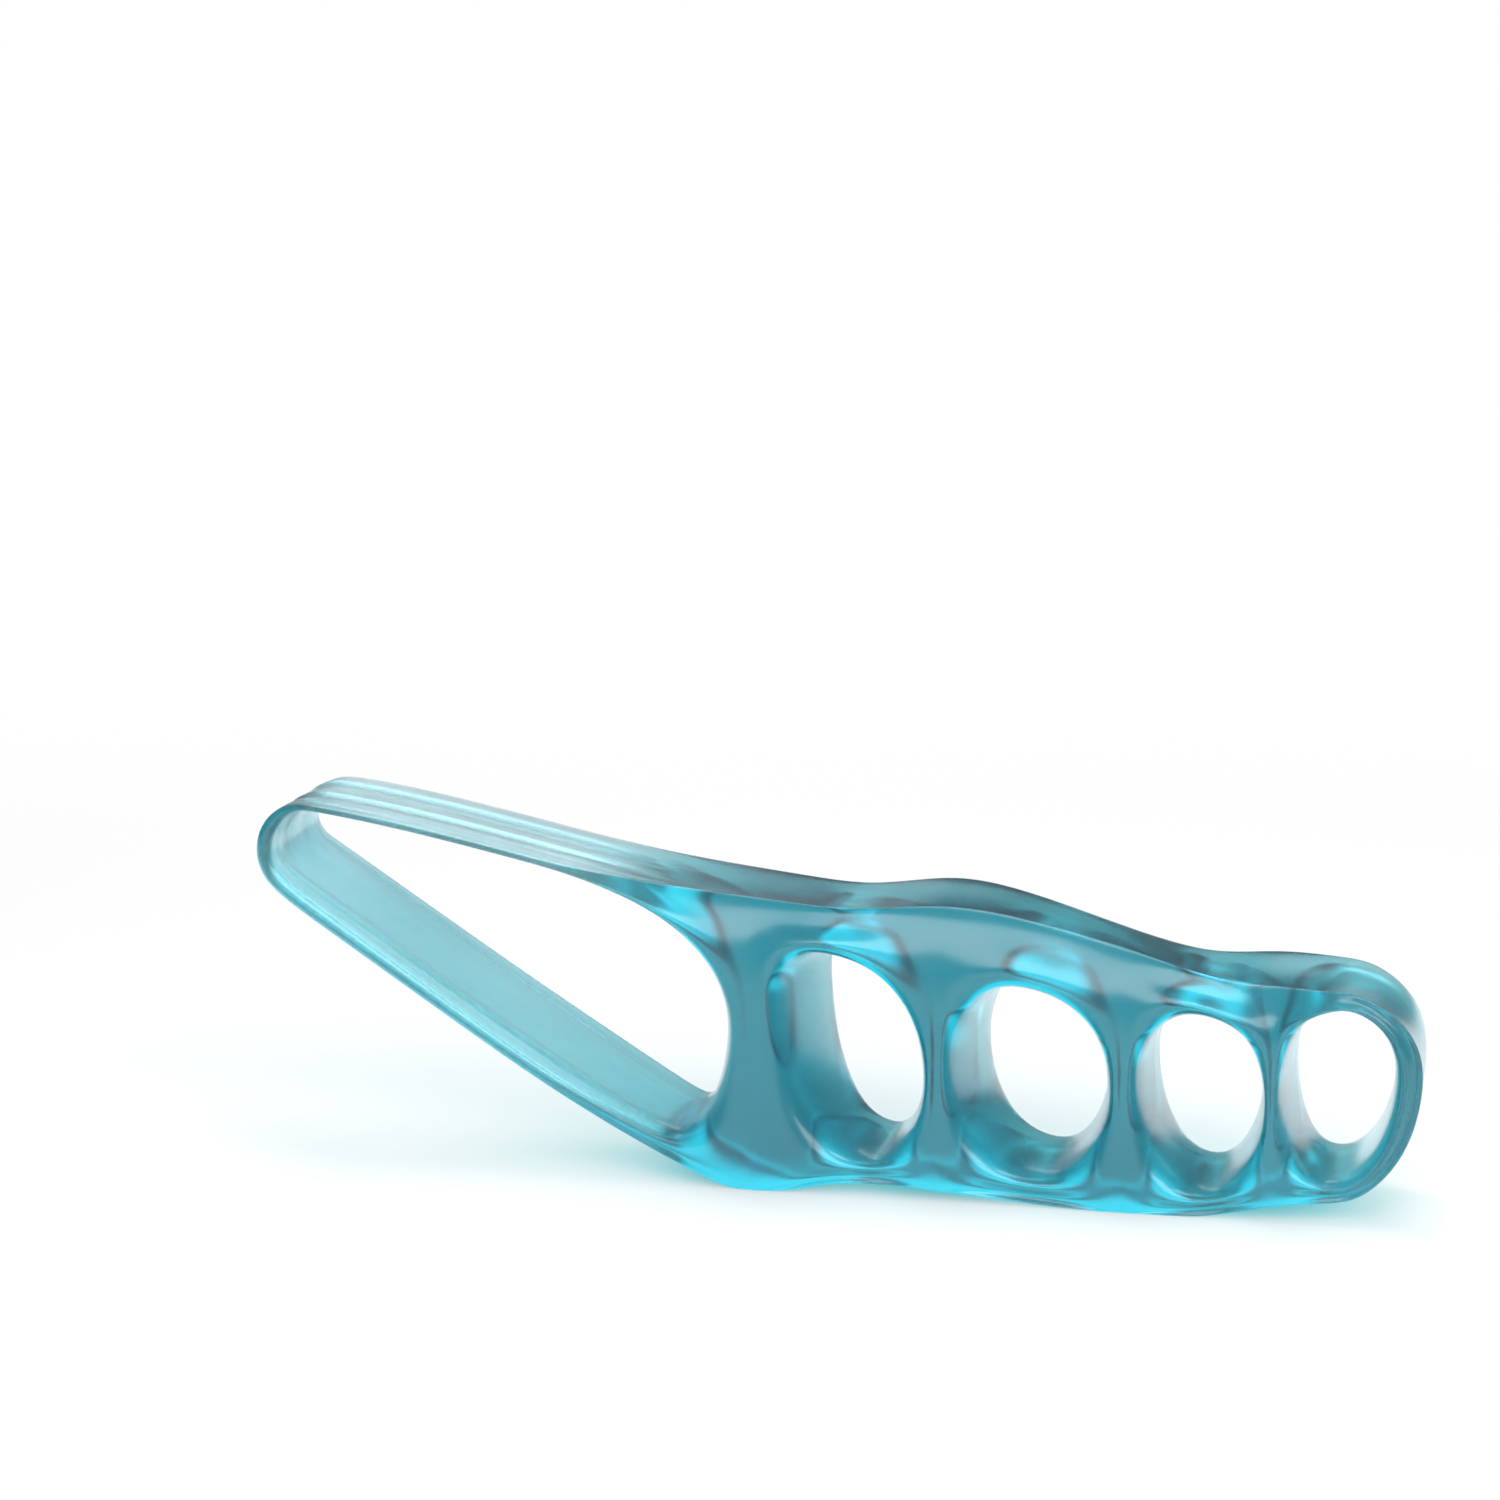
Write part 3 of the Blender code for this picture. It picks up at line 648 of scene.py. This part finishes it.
def gel():
    """Clear aqua gel: clear inside with absorption by depth, a little haze, and a softly uneven skin."""
    material = bpy.data.materials.new("aqua_gel")
    material.use_nodes = True
    nodes, links = material.node_tree.nodes, material.node_tree.links
    shader, output = nodes["Principled BSDF"], nodes["Material Output"]
    shader.inputs["IOR"].default_value = GEL_IOR
    shader.inputs["Specular IOR Level"].default_value = GEL_MIRRORING
    shader.inputs["Transmission Weight"].default_value = 1 - GEL_HAZE
    shader.inputs["Coat Weight"].default_value = SHEEN
    shader.inputs["Coat Roughness"].default_value = SHEEN_ROUGHNESS
    shader.inputs["Coat IOR"].default_value = GEL_IOR
    add_clouds(nodes, links, shader)
    add_waves(nodes, links, shader)
    inside = nodes.new("ShaderNodeVolumeAbsorption")
    inside.inputs["Color"].default_value = (*(1 - GEL_ABSORBS / GEL_ABSORBS.max()), 1)
    inside.inputs["Density"].default_value = GEL_ABSORBS.max()
    links.new(inside.outputs["Volume"], output.inputs["Volume"])
    links.new(lamps_pass(nodes, links, shader), output.inputs["Surface"])
    return material


def make_separator():
    """The one visible piece, in place of the solid."""
    mesh = moulding()
    mesh.name = "gel_separator"
    mesh.materials.clear()
    mesh.materials.append(gel())
    separator = bpy.data.objects.new("gel_separator", mesh)
    bpy.context.scene.collection.objects.link(separator)
    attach(separator, "root")
    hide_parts("toe_separator")


make_separator()


# Floor
# A matt white table, which keeps the gel's tinted shadow. It turns to plain white light a little way
# off, so that it has no far edge.
FLOOR_SIDE = 6.0
FLOOR_WHITE = 0.93
FLOOR_ROUGHNESS = 0.9
FLOOR_MIRRORING = 0.1
WHITE_FROM, WHITE_BY = 0.10, 0.40


def seen_by_eye(nodes, links):
    """1 for rays from the camera and rays through clear gel, and 0 for all others."""
    ray = nodes.new("ShaderNodeLightPath")
    return maths(nodes, links, "MAXIMUM", ray.outputs["Is Camera Ray"], ray.outputs["Is Transmission Ray"])


def fading(nodes, links, value, start, end):
    """0 where the value is short of start, 1 where it is past end, and a smooth step between them."""
    step = nodes.new("ShaderNodeMapRange")
    step.interpolation_type = "SMOOTHSTEP"
    step.inputs["From Min"].default_value = start
    step.inputs["From Max"].default_value = end
    links.new(value, step.inputs["Value"])
    return step.outputs["Result"]


def white_table():
    """Matt white, mixed with white light for the eye by the distance from the middle."""
    material = bpy.data.materials.new("white_table")
    material.use_nodes = True
    nodes, links = material.node_tree.nodes, material.node_tree.links
    shader = nodes["Principled BSDF"]
    shader.inputs["Base Color"].default_value = (FLOOR_WHITE, FLOOR_WHITE, FLOOR_WHITE, 1)
    shader.inputs["Roughness"].default_value = FLOOR_ROUGHNESS
    shader.inputs["Specular IOR Level"].default_value = FLOOR_MIRRORING
    place = nodes.new("ShaderNodeTexCoord")
    reach = nodes.new("ShaderNodeVectorMath")
    reach.operation = "LENGTH"
    links.new(place.outputs["Object"], reach.inputs[0])
    far = fading(nodes, links, reach.outputs["Value"], WHITE_FROM, WHITE_BY)
    white = nodes.new("ShaderNodeEmission")
    mix = nodes.new("ShaderNodeMixShader")
    links.new(maths(nodes, links, "MULTIPLY", far, seen_by_eye(nodes, links)), mix.inputs[0])
    links.new(shader.outputs[0], mix.inputs[1])
    links.new(white.outputs[0], mix.inputs[2])
    links.new(mix.outputs[0], nodes["Material Output"].inputs["Surface"])
    return material


def make_floor():
    """One square face at height 0."""
    corner = FLOOR_SIDE / 2
    mesh = bpy.data.meshes.new("floor")
    corners = [(-corner, -corner, 0), (corner, -corner, 0), (corner, corner, 0), (-corner, corner, 0)]
    mesh.from_pydata(corners, [], [(0, 1, 2, 3)])
    mesh.materials.append(white_table())
    floor = bpy.data.objects.new("floor", mesh)
    bpy.context.scene.collection.objects.link(floor)


make_floor()


# Studio light
# A white room with a bright wall low at the back, which glows through the gel's edges, a large soft
# light above the front, a strip overhead, and low lights behind for the floor and the drawn loop.
SURROUND_LIGHT = 0.38
SURROUND_MIRRORED = 0.10
BACK_WALL_LIGHT = 2.2
WALL_FOOT = (0.06, 0.20)
WALL_TOP = (0.42, 0.62)
WALL_SIDES = (0.50, 0.85)


def back_wall(nodes, links):
    """1 toward the middle of the back wall: smooth steps at its foot, top and sides, multiplied."""
    place = nodes.new("ShaderNodeTexCoord")
    toward = nodes.new("ShaderNodeSeparateXYZ")
    links.new(place.outputs["Generated"], toward.inputs[0])
    share = 1.0
    for axis, (start, end) in (("Z", WALL_FOOT), ("Z", WALL_TOP[::-1]), ("Y", WALL_SIDES)):
        step = fading(nodes, links, toward.outputs[axis], start, end)
        share = maths(nodes, links, "MULTIPLY", share, step)
    return share


def make_surround():
    """The room's light: 1 to the eye, less on surfaces, least where they mirror it.

    Rays through the gel see the back wall on top of that.
    """
    world = bpy.data.worlds.new("studio")
    world.use_nodes = True
    bpy.context.scene.world = world
    nodes, links = world.node_tree.nodes, world.node_tree.links
    ray = nodes.new("ShaderNodeLightPath")
    seen = seen_by_eye(nodes, links)
    mirrored = maths(nodes, links, "GREATER_THAN", ray.outputs["Is Glossy Ray"], seen)
    wall = maths(nodes, links, "MULTIPLY", back_wall(nodes, links), ray.outputs["Is Transmission Ray"])
    light = maths(nodes, links, "MULTIPLY_ADD", seen, 1 - SURROUND_LIGHT, SURROUND_LIGHT)
    light = maths(nodes, links, "MULTIPLY_ADD", mirrored, SURROUND_MIRRORED - SURROUND_LIGHT, light)
    light = maths(nodes, links, "MULTIPLY_ADD", wall, BACK_WALL_LIGHT, light)
    background = nodes["Background"]
    background.inputs["Color"].default_value = (1, 1, 1, 1)
    links.new(light, background.inputs["Strength"])


def soft_light(name, place, aim, width, height, watts):
    """A rectangular soft light at a place, turned to face its aim."""
    data = bpy.data.lights.new(name, "AREA")
    data.shape = "RECTANGLE"
    data.size, data.size_y = width, height
    data.energy = watts
    light = bpy.data.objects.new(name, data)
    bpy.context.scene.collection.objects.link(light)
    back = np.subtract(place, aim)
    back = back / np.linalg.norm(back)
    side = np.cross((0.0, 0.0, 1.0), back)
    side = side / np.linalg.norm(side)
    matrix = np.eye(4)
    matrix[:3, :3] = np.stack([side, np.cross(back, side), back], 1)
    matrix[:3, 3] = place
    light.matrix_world = Matrix(matrix.tolist())
    light.visible_camera = False
    return light


make_surround()
soft_light("front_above", (0.24, -0.62, 0.46), (0, 0, 0.02), width=1.00, height=0.44, watts=6.2)
soft_light("overhead", (0.05, 0.05, 0.80), (0, 0, 0.02), width=0.90, height=0.10, watts=2.6)
soft_light("rear_high", (-0.08, 0.60, 0.42), (0, 0, 0.03), width=0.30, height=0.06, watts=0.12)
card = soft_light("white_card", (-0.16, 0.40, 0.17), (-0.04, 0, 0.03), width=0.20, height=0.35, watts=0.06)
card.visible_transmission = False
low_back = soft_light("low_back", (0.10, 0.90, 0.32), (0, 0, 0.03), width=1.20, height=0.18, watts=1.8)
low_back.visible_glossy = False
low_back.visible_transmission = False
